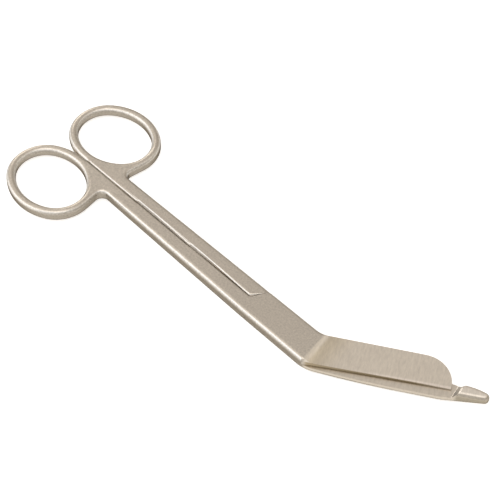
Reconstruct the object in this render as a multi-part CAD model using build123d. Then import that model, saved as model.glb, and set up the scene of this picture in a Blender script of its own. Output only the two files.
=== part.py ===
from build123d import *
from math import atan2, cos, degrees, radians, sin, sqrt, tan
import os

# Angled bandage scissors, shut and lying flat. The origin is on the pivot axis, on the surface
# they lie on. X runs from the finger rings to the blades, the seam between the shanks is y = 0,
# and Z points to the viewer. Each half is forged in a frame of its own: its ring on +Y, and its
# lock plate and blade under the parting plane z = 0.

# Lock, where the halves cross
lock_thickness = 5.0       # both halves together
lock_width = 12.1
sliding_gap = 0.04         # between the flat faces that slide on each other
edge_round = 1.5           # forged rounding round the outside
shoulder_reach = 14.0      # from the pivot to the shoulder, along the seam
shoulder_angle = 57.0      # between the shoulder and the seam
shoulder_corner = 1.2      # radius where shoulder and seam meet
shoulder_fade = 4.0        # over which the rounded edge of the shoulder runs out
shoulder_gap = 0.10
taper_start = 3.0          # from the shoulder to where the shank starts to thin

# Shanks
seam_gap = 0.10
seam_round = 0.85          # radius of the edges along seam and shoulder
seam_stock = 1.2           # forged past the seam, then ground away
stock_runout = 9.0         # where the stock fades into the ring
neck_width = 5.1           # shank beside the finger ring
neck_turn = 8.0            # of the outline there, from square to the seam
neck_corner = 2.5          # inside corner between shank and ring

# Finger rings
ring_reach = 98.5          # from the pivot to the middle of a ring, along the seam
ring_offset = 14.4         # from the seam to the middle of a ring
hole_length = 27.8
hole_breadth = 22.5
hole_end_radius = 10.0     # of the oval's ends, its sides follow from it
ring_tilt = 5.94
rod_width = 3.17
rod_height = 4.1

# Both blades
blade_angle = 33.2         # from the shanks
spine_thickness = 1.95
edge_thickness = 0.95
ramp_angle = 27.0          # from the thick lock down to the thin blade
ramp_valley = 6.0          # radius at the foot of the ramp
ramp_crest = 2.0           # radius at the top of the ramp
crease_x = 15.4            # where the ramp starts, at the middle of the lock
crease_turn = 10.3         # of that line towards the blade, from square
flank_lean = 18.0          # cutting flank, from upright
edge_land = 0.10           # what the flank leaves of the edge

# Blunt blade
blunt_edge_x = 16.4        # where its cutting edge leaves the lock
blunt_edge_turn = 1.4      # how much steeper than the spine it runs
blunt_edge_length = 48.4
blunt_corner = 1.8         # radius where lock and edge meet
blunt_spine_x = 13.2
blunt_flare = 0.45         # how much wider its lock plate gets on the spine's side
blunt_spine_length = 34.1  # straight part, up to the nose
blunt_nose_thickness = 1.6
inner_bend = 8.0           # radius on the hollow side of the bend

# Probe blade
probe_edge_x = 13.5
probe_edge_angle = 23.2
probe_edge_length = 46.9
probe_bend_x = 13.8        # where its spine starts to turn
probe_bend = 14.0          # radius of the turn
probe_bend_angle = 28.5
belly_length = 28.0        # slow bow of the spine up to the blade angle
heel_behind_edge = 4.9     # from the end of the cutting edge back to the heel, along the blade
heel_thickness = 1.9

# Probe tip, a flattened bulb that slides along the skin
probe_lift = 1.95          # above the parting plane, at the ramp behind it
probe_fall = 7.0           # of its upper face towards the nose, from level
probe_angle = 32.0
probe_length = 15.2        # from the heel to the nose
heel_bend = 9.0            # radius
probe_tip_rise = 2.1       # of the underside line, from heel to nose
probe_tip_width = 2.65
probe_nose = 1.52          # radius
probe_back_length = 8.5    # from the nose to the shoulder of its back
probe_back_rise = 1.05     # of that shoulder over the nose
probe_swell = 0.5          # of its back between them
probe_notch = 1.4          # from the end of the cutting edge to the notch before that shoulder
probe_notch_turn = 48.0    # of the blade's end, from the line of the bulb
probe_notch_corner = 0.4   # radius
probe_corner = 1.6         # radius of the shoulder and of the blade's end
probe_ramp_gap = 1.4       # from the blunt nose to the foot of the ramp behind the bulb
probe_ramp_angle = 48.0
probe_ramp_turn = 107.0    # of its foot line, from X
probe_ramp_foot = 0.7      # radius
probe_ramp_crest = 1.2     # radius

# Pivot screw
screw_diameter = 4.0
screw_clearance = 0.05     # all round, in the half that turns on it
head_diameter = 6.6
head_height = 1.1
head_recess = 0.12
head_clearance = 0.10
head_chamfer = 0.14
slot_width = 0.9
slot_depth = 0.55

half_thickness = lock_thickness / 2
half_width = lock_width / 2
inner_face = -sliding_gap / 2
join_x = 2.0               # inside the lock, where shank and plate are joined
join_y = half_width / 2
far = 300.0                # past every part of the scissors
near = 0.01                # closer than any two edges that are told apart
level = 0.9                # upward part of a normal, from which a face counts as flat

hole_side_radius = ((hole_length**2 + hole_breadth**2) / 4 - hole_length * hole_end_radius) / (
    hole_breadth - 2 * hole_end_radius)
outer_long = hole_length / 2 + rod_width
blunt_edge_angle = -(blade_angle + blunt_edge_turn)


def heading(angle):
    return Vector(cos(radians(angle)), sin(radians(angle)))


def flattened(point):
    return Vector(point.X, point.Y)


def plane_through(a, b, c, facing):
    """Plane through three points, with its normal to the given side."""
    normal = (b - a).cross(c - a).normalized()
    if normal.dot(facing) < 0:
        normal = -normal
    return Plane(origin=a, x_dir=(b - a).normalized(), z_dir=normal)


def parting():
    """Plane of a half's sliding face, which looks up."""
    return Plane.XY.offset(inner_face)


def beyond(face):
    """Everything on the side of a plane that its normal points to."""
    return face * Box(far, far, far, align=(Align.CENTER, Align.CENTER, Align.MIN))


def ground_away(face_a, face_b, foot, radius):
    """What grinding takes beyond two planes, with a round valley where they meet."""
    removed = beyond(face_a) & beyond(face_b)
    return fillet(removed.edges().sort_by_distance(foot)[0], radius)


def rim(solid, keep):
    """Edges between a flat face and an upright wall, where keep says so."""
    found = {}
    for face in solid.faces():
        if abs(face.normal_at().Z) > level:
            for edge in face.edges():
                found.setdefault(hash(edge), []).append(edge)
    return [same[0] for same in found.values() if len(same) == 1 and keep(same[0])]


def thickness_profile():
    """Side view of a half: flat at the lock, and slowly thinner towards the ring."""
    start = shoulder_reach + taper_start
    drop = half_thickness - rod_height / 2
    reach = ring_reach - start
    radius = (reach**2 + drop**2) / (2 * drop)
    length = reach + outer_long + rod_width
    end = Vector(-start - length, 0, half_thickness - radius + sqrt(radius**2 - length**2))
    top = TangentArc((-start, 0, half_thickness), end, tangent=(-1, 0, 0))
    bottom = top.mirror(Plane.XY)
    lock = Polyline(top @ 0, (far, 0, half_thickness), (far, 0, -half_thickness), bottom @ 0)
    side = make_face([top, bottom, lock, Line(top @ 1, bottom @ 1)])
    return extrude(side, far, dir=(0, 1, 0), both=True)


def oval(margin, start, end):
    """Arcs round a finger hole, a margin outside it, from one direction to another."""
    beside, above = hole_length / 2 - hole_end_radius, hole_side_radius - hole_breadth / 2
    turn = degrees(atan2(above, beside))
    middle = Vector(-ring_reach, ring_offset)
    joins = [-turn, turn, 180 - turn, 180 + turn, 360 - turn, 360 + turn]
    arcs = []
    for index, (first, last) in enumerate(zip(joins, joins[1:])):
        at_end = index % 2 == 0
        away = Vector(beside, 0) if at_end else Vector(0, -above)
        centre = middle + (away if index % 4 < 2 else -away).rotate(Axis.Z, ring_tilt)
        radius = (hole_end_radius if at_end else hole_side_radius) + margin
        first, last = max(first + ring_tilt, start), min(last + ring_tilt, end)
        if last > first:
            arcs.append(CenterArc(centre, radius, first, last - first))
    return arcs


def handle():
    """Finger ring and shank as one bar, rounded all round, up to the middle of the lock."""
    ring = oval(rod_width, -neck_turn, 270)
    beside_shank, at_seam = ring[0] @ 0, ring[-1] @ 1
    to_neck = (beside_shank.Y - neck_width) / cos(radians(neck_turn))
    neck = beside_shank + heading(-90 - neck_turn) * to_neck
    outside = Polyline(beside_shank, neck, (-shoulder_reach, half_width), (join_x, half_width),
                       (join_x, -seam_stock), (at_seam.X + stock_runout, -seam_stock))
    runout = Spline(outside @ 1, at_seam, tangents=[(-1, 0), (-1, 0)])
    plan = make_face(ring + [outside, runout])
    plan = fillet(plan.vertices().sort_by_distance(neck)[0], neck_corner)
    plan -= make_face(oval(0, ring_tilt, 360 + ring_tilt))
    bar = extrude(plan, lock_thickness, dir=(0, 0, 1), both=True) & thickness_profile()
    return fillet(rim(bar, lambda edge: edge.bounding_box().min.X < join_x - near), edge_round)


def room(side):
    """What a half may fill above (side 1) or below (side -1) its parting plane. The edges along the
    seam are rounded, and past the corner the rounding runs out on the shoulder."""
    down_shoulder = heading(side * shoulder_angle)
    clearance = shoulder_gap / 2 / sin(radians(shoulder_angle))
    past = seam_gap / tan(radians(shoulder_angle)) if side > 0 else 0
    start = Vector(-shoulder_reach - side * clearance + past, seam_gap / 2)
    onward = start + down_shoulder * far
    line = Polyline((-far, start.Y), start, onward)
    around = [(-far, onward.Y)] if side > 0 else [(far, onward.Y), (far, far), (-far, far)]
    plan = make_face([line, Polyline(onward, *around, (-far, start.Y))])
    plan = fillet(plan.vertices().sort_by_distance(start)[0], shoulder_corner)
    sharp = extrude(plan, far, dir=(0, 0, 1), both=True) & thickness_profile()
    along = [edge for edge in rim(sharp, lambda edge: edge.center().Z * side > 0)
             if line.distance_to(flattened(edge @ 0.5)) < shoulder_corner / 2]
    fade = start + down_shoulder * (shoulder_corner * tan(radians(shoulder_angle / 2)))
    past_corner = beyond(Plane(origin=fade, z_dir=down_shoulder))
    edge = fade + Vector(0, 0, side * half_thickness)
    inward = Vector(-down_shoulder.Y, down_shoulder.X)
    run_out = loft([rounding(edge, inward, seam_round),
                    rounding(edge + down_shoulder * shoulder_fade, inward, near)])
    return (fillet(along, seam_round) - past_corner) + ((sharp & past_corner) - run_out)


def rounding(corner, inward, radius):
    """Section of what rounding takes from an edge between a level face and an upright wall."""
    up = Vector(0, 0, corner.Z).normalized()
    slant = (up - inward).normalized()
    centre = corner + (inward - up) * radius
    arc = ThreePointArc(corner + inward * radius, centre + slant * radius, corner - up * radius)
    clear = slant * (seam_round * 2)
    return make_face([arc, Polyline(arc @ 1, arc @ 1 + clear, arc @ 0 + clear, arc @ 0)])


def plate(sides, corners, top):
    """Lock plate and blade as forged under a top plane, rounded round the outside."""
    first, last = sides[0] @ 0, sides[-1] @ 1
    inside = -shoulder_reach - 2 * edge_round
    within = Polyline((join_x, half_width), (join_x, join_y), (inside, join_y), (inside, -half_width))
    plan = make_face(sides + [Line(last, within @ 0), within, Line(within @ 1, first)])
    for corner, radius in corners:
        plan = fillet(plan.vertices().sort_by_distance(corner)[0], radius)
    slab = Pos(0, 0, -half_thickness) * extrude(plan, far, dir=(0, 0, 1)) - beyond(top)
    outside = [edge for edge in rim(slab, lambda edge: abs(edge.center().Z - inner_face) > near)
               if within.distance_to(flattened(edge @ 0.5)) > near]
    return fillet(outside, edge_round)


def outer_face(spine, edge, nose, nose_thickness):
    """Ground outer face of a blade, thinner towards its edge and its nose."""
    points = [Vector(spine.X, spine.Y, -spine_thickness), Vector(edge.X, edge.Y, -edge_thickness),
              Vector(nose.X, nose.Y, -nose_thickness)]
    return plane_through(*points, facing=Vector(0, 0, -1))


def grind(blade, face, turn):
    """Grinds a blade thin, with a ramp from the lock's outer face down to it."""
    middle = Vector(crease_x, 0, -half_thickness)
    across = heading(90 + turn)
    down = heading(turn) + Vector(0, 0, tan(radians(ramp_angle)))
    ramp = plane_through(middle, middle + across, middle + down, facing=Vector(0, 0, -1))
    foot = middle + down * ((half_thickness - spine_thickness) / down.Z)
    return blade - ground_away(face, ramp, foot, ramp_valley) - crest_rounding(
        middle, heading(turn + 180), down, ramp_crest)


def crest_rounding(crest, back, down, radius):
    """What rounding a crest takes, between the level face behind it and the slope in front."""
    back, down = back.normalized(), down.normalized()
    half_turn = radians(back.get_angle(down)) / 2
    inward = (back + down).normalized()
    reach = radius / tan(half_turn)
    arc = ThreePointArc(crest + back * reach, crest + inward * (radius / sin(half_turn) - radius),
                        crest + down * reach)
    clear = inward * -radius
    profile = make_face([arc, Polyline(arc @ 1, arc @ 1 + clear, arc @ 0 + clear, arc @ 0)])
    return extrude(profile, lock_width, dir=back.cross(down).normalized(), both=True)


def flank(start, end):
    """What grinding the cutting flank takes, beyond a steep plane through the edge."""
    along = (end - start).normalized()
    outward = Vector(-along.Y, along.X)
    lean = radians(flank_lean)
    face = Plane(origin=start + Vector(0, 0, inner_face - edge_land), x_dir=along,
                 z_dir=outward * cos(lean) - Vector(0, 0, sin(lean)))
    return face * Box((end - start).length, far, far, align=(Align.MIN, Align.CENTER, Align.MIN))


def blunt_end():
    """Where the cutting edge of the blunt blade ends."""
    return Vector(blunt_edge_x, half_width) + heading(blunt_edge_angle) * blunt_edge_length


def blunt_blade():
    spine_start = Vector(blunt_spine_x, -half_width - blunt_flare)
    spine_end = spine_start + heading(-blade_angle) * blunt_spine_length
    edge_start, edge_end = Vector(blunt_edge_x, half_width), blunt_end()
    nose = TangentArc(spine_end, edge_end, tangent=heading(-blade_angle))
    sides = [Line(spine_start, spine_end), nose, Line(edge_end, edge_start)]
    blade = plate(sides, [(spine_start, inner_bend), (edge_start, blunt_corner)], parting())
    face = outer_face(spine_start, edge_start, spine_end, blunt_nose_thickness)
    return grind(blade, face, -crease_turn) - flank(edge_start, edge_end)


def probe_step():
    """What is ground from the inner face, up to the ramp behind the bulb."""
    nose = blunt_end()
    foot = nose * (1 + probe_ramp_gap / nose.length)
    foot = Vector(foot.X, -foot.Y, inner_face)
    rise = heading(probe_ramp_turn - 90) + Vector(0, 0, tan(radians(probe_ramp_angle)))
    ramp = plane_through(foot, foot + heading(probe_ramp_turn), foot + rise, facing=Vector(-1, 0, 1))
    crest = foot + rise * ((probe_lift - inner_face) / rise.Z)
    return ground_away(parting(), ramp, foot, probe_ramp_foot), crest, -rise


def probe_outline(edge_start, edge_end):
    """Plan of the probe blade's outside, from the spine to the cutting edge, and its corners."""
    bend = JernArc((probe_bend_x, -half_width), (1, 0), probe_bend, probe_bend_angle)
    bow = blade_angle - probe_bend_angle
    belly = JernArc(bend @ 1, bend % 1, belly_length / radians(bow), bow)
    run = (edge_end - belly @ 1).dot(heading(blade_angle)) - heel_behind_edge
    heel = belly @ 1 + heading(blade_angle) * run
    along, across = heading(probe_angle), heading(probe_angle + 90)
    low = heel + along * probe_length + across * probe_tip_rise
    high = low + across * probe_tip_width
    shoulder = high - along * probe_back_length + across * probe_back_rise
    swell = (high + shoulder) / 2 + across * probe_swell
    notch = edge_end + heading(probe_angle - probe_notch_turn) * probe_notch
    sides = [bend, belly, Polyline(belly @ 1, heel, low, high), ThreePointArc(high, swell, shoulder),
             Polyline(shoulder, notch, edge_end, edge_start)]
    corners = [(edge_start, inner_bend), (edge_end, probe_corner), (notch, probe_notch_corner),
               (shoulder, probe_corner), (heel, heel_bend), (low, probe_nose), (high, probe_nose)]
    return sides, corners, heel


def probe_blade():
    edge_start = Vector(probe_edge_x, half_width)
    edge_end = edge_start + heading(probe_edge_angle) * probe_edge_length
    sides, corners, heel = probe_outline(edge_start, edge_end)
    step, crest, down = probe_step()
    fall = heading(probe_angle) * sin(radians(probe_fall)) + Vector(0, 0, cos(radians(probe_fall)))
    top = Plane(origin=crest, z_dir=fall)
    back = heading(probe_ramp_turn - 90) - Vector(0, 0, tan(radians(probe_fall)))
    blade = plate(sides, corners, top) - step - crest_rounding(crest, back, down, probe_ramp_crest)
    face = outer_face(sides[0] @ 0, edge_start, heel, heel_thickness)
    return grind(blade, face, crease_turn) - flank(edge_start, edge_end)


def joined(blade):
    """A half in its own frame: shank, lock plate and blade, cut to the joint with the other half."""
    bar = handle()
    above = (bar & room(1)) - beyond(-parting())
    below = (bar - beyond(parting())) & room(-1)
    return above + below + (blade & room(-1))


def in_place(half):
    """Moves a finished half up onto the surface that the scissors lie on."""
    return Pos(0, 0, half_thickness) * half


def bore(diameter):
    return Cylinder(diameter / 2, lock_thickness * 2)


def head_top():
    return head_recess + head_height


def probe_half():
    """Lower half at the lock, with the probe. The screw turns in it."""
    half = in_place(joined(probe_blade()))
    seat = Cylinder(head_diameter / 2 + head_clearance, head_top() * 2)
    return half - bore(screw_diameter + 2 * screw_clearance) - seat


def blunt_half():
    """Upper half at the lock, forged like the other and turned over."""
    return in_place(Rot(180, 0, 0) * joined(blunt_blade())) - bore(screw_diameter)


def pivot_screw():
    """Slotted head in the underside, and an end ground flush with the top."""
    on_seat = (Align.CENTER, Align.CENTER, Align.MIN)
    head = Cylinder(head_diameter / 2, head_height, align=on_seat)
    stem = Cylinder(screw_diameter / 2, lock_thickness - head_recess, align=on_seat)
    slot = Box(head_diameter * 2, slot_width, slot_depth * 2)
    head = chamfer(head.edges().group_by(Axis.Z)[0], head_chamfer)
    return Pos(0, 0, head_recess) * (head + stem - slot)


os.makedirs("parts", exist_ok=True)
for make in (probe_half, blunt_half, pivot_screw):
    piece = make()
    export_step(piece, "parts/" + make.__name__ + ".step")
    print(make.__name__, len(piece.solids()), piece.is_valid, round(piece.volume, 1))
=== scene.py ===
import math

import bpy
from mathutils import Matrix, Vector

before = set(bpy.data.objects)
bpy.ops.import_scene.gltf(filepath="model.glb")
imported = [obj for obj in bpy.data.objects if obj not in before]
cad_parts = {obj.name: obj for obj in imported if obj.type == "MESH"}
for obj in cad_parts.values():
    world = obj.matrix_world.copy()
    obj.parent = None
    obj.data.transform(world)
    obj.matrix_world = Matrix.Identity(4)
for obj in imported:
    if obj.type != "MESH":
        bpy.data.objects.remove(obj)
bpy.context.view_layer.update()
print("frame loaded:", ", ".join(sorted(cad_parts)))


# camera, at the photograph's view
cameraView = {
    "place": (0.3093, -0.3011, 0.5537),
    "lookAt": (-0.0296, 0.0146, 0.0025),
    "focalLength": 155.26,  # mm, on a sensor 36 mm wide
    "sensorWidth": 36.0,
}


def aimAt(thing, target):
    direction = Vector(target) - thing.location
    thing.rotation_euler = direction.to_track_quat("-Z", "Y").to_euler()


def addCamera(view):
    bpy.ops.object.camera_add(location=view["place"])
    camera = bpy.context.object
    camera.name = "studioCamera"
    camera.data.lens = view["focalLength"]
    camera.data.sensor_width = view["sensorWidth"]
    aimAt(camera, view["lookAt"])
    bpy.context.scene.camera = camera


addCamera(cameraView)
bpy.context.scene.view_settings.view_transform = "Standard"
print("camera placed")


# floor and light
studio = {
    "floorSize": 12.0,
    "floorColor": (0.72, 0.712, 0.70, 1.0),
    "floorRoughness": 0.9,
    "paperGlow": 0.60,        # what camera and reflections see on top of the lit floor
    "ceilingColor": (0.685, 0.662, 0.645, 1.0),
    "wallColor": (0.40, 0.35, 0.27, 1.0),
    "brightSide": (-0.38, -0.12, 0.92),   # the ceiling's brightest direction
    "wallTop": 0.70,          # of the way up to the brightest direction
}

softBoxes = {
    "frontLeft": {
        "place": (-0.75, -0.86, 0.76),
        "size": (1.5, 1.05),
        "power": 5.1,
        "color": (1.0, 0.99, 0.985),
    },
    "overhead": {
        "place": (0.10, -0.30, 1.30),
        "size": (0.9, 0.7),
        "power": 4.0,
        "color": (1.0, 0.99, 0.97),
    },
    "rear": {
        "place": (0.36, 0.75, 1.00),
        "size": (0.36, 0.36),
        "power": 0.58,
        "color": (1.0, 0.99, 0.96),
    },
    "left": {
        "place": (-1.08, 0.45, 0.46),
        "size": (0.30, 0.45),
        "power": 1.6,
        "color": (1.0, 0.99, 0.97),
    },
}


def newMaterial(name):
    material = bpy.data.materials.new(name)
    material.use_nodes = True
    material.node_tree.nodes.clear()
    return material, material.node_tree.nodes, material.node_tree.links


def connect(links, value, socket):
    if isinstance(value, bpy.types.NodeSocket):
        links.new(value, socket)
    else:
        socket.default_value = value


def addMath(nodes, links, operation, first, second, third=0.0):
    node = nodes.new("ShaderNodeMath")
    node.operation = operation
    for socket, value in zip(node.inputs, (first, second, third)):
        connect(links, value, socket)
    return node.outputs[0]


def addRange(nodes, links, value, low, high):
    ramp = nodes.new("ShaderNodeMapRange")
    ramp.interpolation_type = "SMOOTHSTEP"
    links.new(value, ramp.inputs["Value"])
    connect(links, low, ramp.inputs["From Min"])
    connect(links, high, ramp.inputs["From Max"])
    return ramp.outputs["Result"]


def addMix(nodes, links, kind, share, first, second):
    mix = nodes.new("ShaderNodeMix")
    mix.data_type = kind
    firstSocket, result = {"FLOAT": (2, 0), "RGBA": (6, 2)}[kind]   # the node holds sockets of every kind
    connect(links, share, mix.inputs[0])
    connect(links, first, mix.inputs[firstSocket])
    connect(links, second, mix.inputs[firstSocket + 1])
    return mix.outputs[result]


def addFloor(settings):
    bpy.ops.mesh.primitive_plane_add(size=settings["floorSize"])
    floor = bpy.context.object
    floor.name = "paperFloor"
    material, nodes, links = newMaterial("whitePaper")
    paper = nodes.new("ShaderNodeBsdfPrincipled")
    paper.inputs["Base Color"].default_value = settings["floorColor"]
    paper.inputs["Roughness"].default_value = settings["floorRoughness"]
    paper.inputs["Specular IOR Level"].default_value = 0.0
    ray = nodes.new("ShaderNodeLightPath")
    glow = nodes.new("ShaderNodeEmission")
    both = nodes.new("ShaderNodeAddShader")
    output = nodes.new("ShaderNodeOutputMaterial")
    direct = addMath(nodes, links, "MAXIMUM", ray.outputs["Is Camera Ray"], ray.outputs["Is Glossy Ray"])
    direct = addMath(nodes, links, "MAXIMUM", direct, ray.outputs["Is Transmission Ray"])
    links.new(addMath(nodes, links, "MULTIPLY", direct, settings["paperGlow"]), glow.inputs["Strength"])
    links.new(paper.outputs[0], both.inputs[0])
    links.new(glow.outputs[0], both.inputs[1])
    links.new(both.outputs[0], output.inputs["Surface"])
    floor.data.materials.append(material)


def addWorld(settings):
    world = bpy.data.worlds.new("studioRoom")
    bpy.context.scene.world = world
    world.use_nodes = True
    nodes, links = world.node_tree.nodes, world.node_tree.links
    nodes.clear()
    direction = nodes.new("ShaderNodeTexCoord")
    height = nodes.new("ShaderNodeVectorMath")
    height.operation = "DOT_PRODUCT"
    height.inputs[1].default_value = settings["brightSide"]
    links.new(direction.outputs["Generated"], height.inputs[0])
    share = addRange(nodes, links, height.outputs["Value"], 0.0, settings["wallTop"])
    light = nodes.new("ShaderNodeBackground")
    output = nodes.new("ShaderNodeOutputWorld")
    room = addMix(nodes, links, "RGBA", share, settings["wallColor"], settings["ceilingColor"])
    links.new(room, light.inputs["Color"])
    links.new(light.outputs[0], output.inputs["Surface"])


def addSoftBox(name, box):
    bpy.ops.object.light_add(type="AREA", location=box["place"])
    lamp = bpy.context.object
    lamp.name = name
    lamp.data.shape = "RECTANGLE"
    lamp.data.size, lamp.data.size_y = box["size"]
    lamp.data.energy = box["power"]
    lamp.data.color = box["color"]
    aimAt(lamp, (0.0, 0.0, 0.0))


addFloor(studio)
addWorld(studio)
for boxName, softBox in softBoxes.items():
    addSoftBox(boxName, softBox)
print("studio lit")


# steel finishes, patterns first
facingLimits = {              # how upright a normal stands, 1 straight up or down and 0 level
    "Flat Above": 0.90,
    "Round Below": 0.78,
    "Side From": 0.66,
    "Side Below": 0.20,
}

grainNoise = {
    "Detail": 3.0,
    "Roughness": 0.7,
}
noiseMiddle = 0.5             # what the noise wavers about


def addSocket(group, name, kind, inOut, value=None):
    socket = group.interface.new_socket(name=name, in_out=inOut, socket_type=kind)
    if value is not None:
        socket.default_value = value


def newGroup(name):
    group = bpy.data.node_groups.new(name, "ShaderNodeTree")
    inputs, outputs = group.nodes.new("NodeGroupInput"), group.nodes.new("NodeGroupOutput")
    return group, group.nodes, group.links, inputs, outputs


def addGroup(nodes, group, values):
    node = nodes.new("ShaderNodeGroup")
    node.node_tree = group
    for name, value in values.items():
        node.inputs[name].default_value = value
    return node


def buildFacingGroup():
    group, nodes, links, inputs, outputs = newGroup("facing")
    addSocket(group, "Normal", "NodeSocketVector", "INPUT")
    for limit, value in facingLimits.items():
        addSocket(group, limit, "NodeSocketFloat", "INPUT", value)
    addSocket(group, "Rounded", "NodeSocketFloat", "OUTPUT")
    addSocket(group, "Side", "NodeSocketFloat", "OUTPUT")
    parts = nodes.new("ShaderNodeSeparateXYZ")
    links.new(inputs.outputs["Normal"], parts.inputs[0])
    upright = addMath(nodes, links, "ABSOLUTE", parts.outputs["Z"], 0.0)
    rounded = addRange(nodes, links, upright, inputs.outputs["Flat Above"], inputs.outputs["Round Below"])
    side = addRange(nodes, links, upright, inputs.outputs["Side From"], inputs.outputs["Side Below"])
    links.new(rounded, outputs.inputs["Rounded"])
    links.new(side, outputs.inputs["Side"])
    return group


def buildGrainGroup():
    group, nodes, links, inputs, outputs = newGroup("beltGrain")
    addSocket(group, "Position", "NodeSocketVector", "INPUT")
    addSocket(group, "Turn", "NodeSocketFloat", "INPUT", 0.0)
    addSocket(group, "Stretch", "NodeSocketFloat", "INPUT", 1.0)
    addSocket(group, "Lines", "NodeSocketFloat", "INPUT", 1400.0)
    addSocket(group, "Grain", "NodeSocketFloat", "OUTPUT")
    turn = nodes.new("ShaderNodeVectorRotate")
    turn.rotation_type = "Z_AXIS"
    links.new(inputs.outputs["Position"], turn.inputs["Vector"])
    links.new(inputs.outputs["Turn"], turn.inputs["Angle"])
    parts = nodes.new("ShaderNodeSeparateXYZ")
    links.new(turn.outputs[0], parts.inputs[0])
    pulled = nodes.new("ShaderNodeCombineXYZ")
    shortened = addMath(nodes, links, "DIVIDE", parts.outputs["X"], inputs.outputs["Stretch"])
    links.new(shortened, pulled.inputs["X"])
    links.new(parts.outputs["Y"], pulled.inputs["Y"])
    links.new(parts.outputs["Z"], pulled.inputs["Z"])
    noise = nodes.new("ShaderNodeTexNoise")
    for setting, value in grainNoise.items():
        noise.inputs[setting].default_value = value
    links.new(pulled.outputs[0], noise.inputs["Vector"])
    links.new(inputs.outputs["Lines"], noise.inputs["Scale"])
    grain = addMath(nodes, links, "SUBTRACT", noise.outputs["Fac"], noiseMiddle)
    links.new(grain, outputs.inputs["Grain"])
    return group


facingGroup = buildFacingGroup()
grainGroup = buildGrainGroup()

satinSteel = {
    "shankColor": (0.568, 0.508, 0.430, 1.0),
    "bladeColor": (0.672, 0.600, 0.505, 1.0),
    # painted highlight: rounded edges and ring rods lighter than the flats, to whiten the highlights they
    # catch
    "roundedHighlightColor": (0.76, 0.735, 0.70, 1.0),
    "ringHighlightColor": (0.84, 0.81, 0.765, 1.0),
    # painted shade: upright sides darker, standing in for a dark reflection along them
    "sideShadeColor": (0.37, 0.33, 0.275, 1.0),
    # painted highlight: sides along the blades lighter, standing in for a rounded edge's highlight
    "bladeSideLightColor": (0.60, 0.54, 0.455, 1.0),
    "seamLightColor": (0.66, 0.60, 0.52, 1.0),      # painted light: the sides that face each other along the seam, kept lighter than other sides to lift the shade in the gap
    "seamWidth": 0.0013,      # metres, to each side
    "seamFull": 0.00104,
    # painted light and shade on the probe: its top lighter, its rounded edges and sides darker to mute
    # their highlight
    "probeLightColor": (0.80, 0.73, 0.64, 1.0),
    "probeEdgeShadeColor": (0.60, 0.555, 0.49, 1.0),
    "probeSideShadeColor": (0.38, 0.335, 0.265, 1.0),
    "probeTurn": 33.2,        # degrees, of the blades' length against the shanks
    "probeStart": 0.0600,     # metres from the pivot along the blades, where the probe leaves its notch
    "probeFull": 0.0614,
    "grazingTint": (0.06, 0.055, 0.05, 1.0),
    "flatRoughness": 0.40,
    "roundedRoughness": 0.35,
    "ringRoughness": 0.45,
    "probeRoughness": 0.52,
    "sideRoughness": 0.36,
    "ringStart": -0.076,      # metres from the pivot, where the shanks run into the rings
    "ringFull": -0.086,
    "speckleLines": 1600.0,   # blasted grain of shanks and lock, in the noise's own measure
    "brushLines": 1500.0,     # belt marks across the blades
    "brushStretch": 4.0,
    "brushShare": 0.55,       # how strong against the blasted grain
    "brushTurn": -123.2,      # degrees, lays the marks square to the blades
    "creaseTurn": 10.3,       # degrees, of the crease against the pivot's cross line
    "brushStart": 0.0150,     # metres past the pivot, where blasted turns to brushed
    "brushEnd": 0.0162,
    "footShadeColor": (0.575, 0.495, 0.375, 1.0),   # painted shade: the foot of the ramp darker olive-brown, standing in for a dark reflection there
    "footShare": 0.9,
    "footStart": 0.0161,
    "footPeak": 0.0174,
    "footEnd": 0.0265,
    "cloudLines": 90.0,       # wide uneven patches
    "toneGrain": 0.85,
    "toneCloud": 0.10,
    "roughGrain": 0.22,
    "bumpHeight": 0.000004,
}

bluntSteel = {
    **satinSteel,
    "edgeStart": (0.0164, -0.00605, 0.0),   # metres, where the cutting edge leaves the lock
    "edgeTurn": 34.6,         # degrees, the way it runs
    # painted highlight: a light strip along the cutting edge, standing in for a narrow bevel's reflection
    "edgeHighlightColor": (0.82, 0.73, 0.635, 1.0),
    "edgeHighlightWidth": 0.0014,     # metres in from the edge, and where the strip is full
    "edgeHighlightCore": 0.0007,
    "edgeHighlightFrom": 0.014,       # metres along the edge
    "edgeHighlightFull": 0.032,
    "flankShadeColor": (0.34, 0.28, 0.19, 1.0),   # painted shade: the leaning face under the cutting edge darker, for the shaded strip below that it reflects
    "flankWidth": 0.00042,
    "flankCore": 0.000294,
    "flankFull": 0.002,
    "flankFades": (0.034, 0.049),
}

turnedScrew = {
    **satinSteel,
    "turnLines": 5200.0,      # rings that the lathe left on the head
    "turnTop": 0.0030,        # metres, above it the end is ground flush with the lock
    "turnBottom": 0.0020,
}


def addDistance(nodes, links, position, start, turn):
    away = nodes.new("ShaderNodeVectorMath")
    away.operation = "SUBTRACT"
    away.inputs[1].default_value = start
    along = nodes.new("ShaderNodeVectorMath")
    along.operation = "DOT_PRODUCT"
    along.inputs[1].default_value = (math.cos(math.radians(turn)), math.sin(math.radians(turn)), 0.0)
    links.new(position, away.inputs[0])
    links.new(away.outputs[0], along.inputs[0])
    return along.outputs["Value"]


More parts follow.
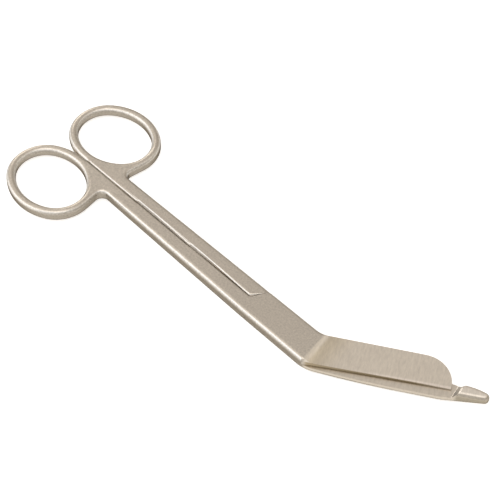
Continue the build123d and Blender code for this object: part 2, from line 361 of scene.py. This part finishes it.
# painted highlight along the cutting edge, and painted shade on the flank under it
def addEdgeHighlightAndShade(nodes, links, position, color, finish):
    inward = addDistance(nodes, links, position, finish["edgeStart"], finish["edgeTurn"] + 90.0)
    along = addDistance(nodes, links, position, finish["edgeStart"], finish["edgeTurn"])
    band = addRange(nodes, links, inward, finish["edgeHighlightWidth"], finish["edgeHighlightCore"])
    grows = addRange(nodes, links, along, finish["edgeHighlightFrom"], finish["edgeHighlightFull"])
    edgeHighlight = addMath(nodes, links, "MULTIPLY", band, grows)
    color = addMix(nodes, links, "RGBA", edgeHighlight, color, finish["edgeHighlightColor"])
    flank = addRange(nodes, links, inward, finish["flankWidth"], finish["flankCore"])
    fadeStart, fadeEnd = finish["flankFades"]
    fades = addRange(nodes, links, along, fadeEnd, fadeStart)
    begins = addRange(nodes, links, along, 0.0, finish["flankFull"])
    flank = addMath(nodes, links, "MULTIPLY", flank, fades)
    flank = addMath(nodes, links, "MULTIPLY", flank, begins)
    return color, flank


def addTurnMarks(nodes, links, position, height, grain, finish):
    flat = nodes.new("ShaderNodeVectorMath")
    flat.operation = "MULTIPLY"
    flat.inputs[1].default_value = (1.0, 1.0, 0.0)
    reach = nodes.new("ShaderNodeVectorMath")
    reach.operation = "LENGTH"
    rings = nodes.new("ShaderNodeTexNoise")
    rings.noise_dimensions = "1D"
    rings.inputs["Scale"].default_value = finish["turnLines"]
    links.new(position, flat.inputs[0])
    links.new(flat.outputs[0], reach.inputs[0])
    links.new(reach.outputs["Value"], rings.inputs["W"])
    marks = addMath(nodes, links, "SUBTRACT", rings.outputs["Fac"], noiseMiddle)
    onHead = addRange(nodes, links, height, finish["turnTop"], finish["turnBottom"])
    return addMix(nodes, links, "FLOAT", onHead, grain, marks)


def addPlaces(nodes, links, position, parts, finish):
    pivot = (0.0, 0.0, 0.0)
    pastCrease = addDistance(nodes, links, position, pivot, finish["creaseTurn"])
    footIn = addRange(nodes, links, pastCrease, finish["footStart"], finish["footPeak"])
    footOut = addRange(nodes, links, pastCrease, finish["footEnd"], finish["footPeak"])
    foot = addMath(nodes, links, "MULTIPLY", footIn, footOut)
    towardProbe = addDistance(nodes, links, position, pivot, finish["probeTurn"])
    fromSeam = addMath(nodes, links, "ABSOLUTE", parts.outputs["Y"], 0.0)
    return {
        "blade": addRange(nodes, links, pastCrease, finish["brushStart"], finish["brushEnd"]),
        "foot": addMath(nodes, links, "MULTIPLY", foot, finish["footShare"]),
        "ring": addRange(nodes, links, parts.outputs["X"], finish["ringStart"], finish["ringFull"]),
        "probe": addRange(nodes, links, towardProbe, finish["probeStart"], finish["probeFull"]),
        "seam": addRange(nodes, links, fromSeam, finish["seamWidth"], finish["seamFull"]),
    }


def addGrain(nodes, links, position, parts, places, finish):
    speckle = addGroup(nodes, grainGroup, {"Lines": finish["speckleLines"]})
    brush = addGroup(nodes, grainGroup, {
        "Turn": math.radians(finish["brushTurn"]),
        "Stretch": finish["brushStretch"],
        "Lines": finish["brushLines"],
    })
    links.new(position, speckle.inputs["Position"])
    links.new(position, brush.inputs["Position"])
    brushed = addMath(nodes, links, "MULTIPLY", brush.outputs["Grain"], finish["brushShare"])
    grain = addMix(nodes, links, "FLOAT", places["blade"], speckle.outputs["Grain"], brushed)
    if "turnLines" in finish:
        grain = addTurnMarks(nodes, links, position, parts.outputs["Z"], grain, finish)
    return grain


def addSteelColor(nodes, links, position, facing, places, finish):
    color = addMix(nodes, links, "RGBA", places["blade"], finish["shankColor"], finish["bladeColor"])
    # painted shade at the foot of the ramp
    color = addMix(nodes, links, "RGBA", places["foot"], color, finish["footShadeColor"])
    if "edgeHighlightColor" in finish:
        color, flank = addEdgeHighlightAndShade(nodes, links, position, color, finish)
    # painted light and shade on the probe: top lighter, rounded edges darker
    color = addMix(nodes, links, "RGBA", places["probe"], color, finish["probeLightColor"])
    # painted highlight: rounded edges and rings lighter
    rounded = addMix(nodes, links, "RGBA", places["ring"], finish["roundedHighlightColor"], finish["ringHighlightColor"])
    rounded = addMix(nodes, links, "RGBA", places["probe"], rounded, finish["probeEdgeShadeColor"])
    # painted shade on upright sides, lighter along the seam and the blades, darker on the probe
    side = addMix(nodes, links, "RGBA", places["seam"], finish["sideShadeColor"], finish["seamLightColor"])
    side = addMix(nodes, links, "RGBA", places["blade"], side, finish["bladeSideLightColor"])
    side = addMix(nodes, links, "RGBA", places["probe"], side, finish["probeSideShadeColor"])
    color = addMix(nodes, links, "RGBA", facing.outputs["Rounded"], color, rounded)
    color = addMix(nodes, links, "RGBA", facing.outputs["Side"], color, side)
    # painted shade on the flank under the cutting edge
    if "flankShadeColor" in finish:
        color = addMix(nodes, links, "RGBA", flank, color, finish["flankShadeColor"])
    return color


def addSteelTone(nodes, links, position, color, grain, finish):
    cloud = addGroup(nodes, grainGroup, {"Lines": finish["cloudLines"]})
    links.new(position, cloud.inputs["Position"])
    tone = addMath(nodes, links, "MULTIPLY_ADD", grain, finish["toneGrain"], 1.0)
    tone = addMath(nodes, links, "MULTIPLY_ADD", cloud.outputs["Grain"], finish["toneCloud"], tone)
    toned = nodes.new("ShaderNodeVectorMath")
    toned.operation = "SCALE"
    links.new(color, toned.inputs[0])
    links.new(tone, toned.inputs["Scale"])
    return toned.outputs[0]


def addSteelRoughness(nodes, links, facing, places, grain, finish):
    rounded = addMix(
        nodes, links, "FLOAT", places["ring"], finish["roundedRoughness"], finish["ringRoughness"])
    rounded = addMix(nodes, links, "FLOAT", places["probe"], rounded, finish["probeRoughness"])
    roughness = addMix(nodes, links, "FLOAT", facing.outputs["Rounded"], finish["flatRoughness"], rounded)
    roughness = addMix(nodes, links, "FLOAT", facing.outputs["Side"], roughness, finish["sideRoughness"])
    return addMath(nodes, links, "MULTIPLY_ADD", grain, finish["roughGrain"], roughness)


def buildSteel(name, finish):
    material, nodes, links = newMaterial(name)
    place = nodes.new("ShaderNodeTexCoord")
    position = place.outputs["Object"]
    parts = nodes.new("ShaderNodeSeparateXYZ")
    links.new(position, parts.inputs[0])
    facing = addGroup(nodes, facingGroup, {})
    links.new(place.outputs["Normal"], facing.inputs["Normal"])
    places = addPlaces(nodes, links, position, parts, finish)
    grain = addGrain(nodes, links, position, parts, places, finish)
    color = addSteelColor(nodes, links, position, facing, places, finish)
    color = addSteelTone(nodes, links, position, color, grain, finish)
    roughness = addSteelRoughness(nodes, links, facing, places, grain, finish)

    bump = nodes.new("ShaderNodeBump")
    bump.inputs["Distance"].default_value = finish["bumpHeight"]
    links.new(grain, bump.inputs["Height"])
    steel = nodes.new("ShaderNodeBsdfPrincipled")
    steel.inputs["Metallic"].default_value = 1.0
    steel.inputs["Specular Tint"].default_value = finish["grazingTint"]
    links.new(color, steel.inputs["Base Color"])
    links.new(roughness, steel.inputs["Roughness"])
    links.new(bump.outputs["Normal"], steel.inputs["Normal"])
    output = nodes.new("ShaderNodeOutputMaterial")
    links.new(steel.outputs[0], output.inputs["Surface"])
    return material


pieceFinish = {"probe_half": satinSteel, "blunt_half": bluntSteel, "pivot_screw": turnedScrew}
for pieceName, pieceSteel in pieceFinish.items():
    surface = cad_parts[pieceName].data
    surface.materials.clear()
    surface.materials.append(buildSteel(pieceName + "_steel", pieceSteel))
print("steel finished")
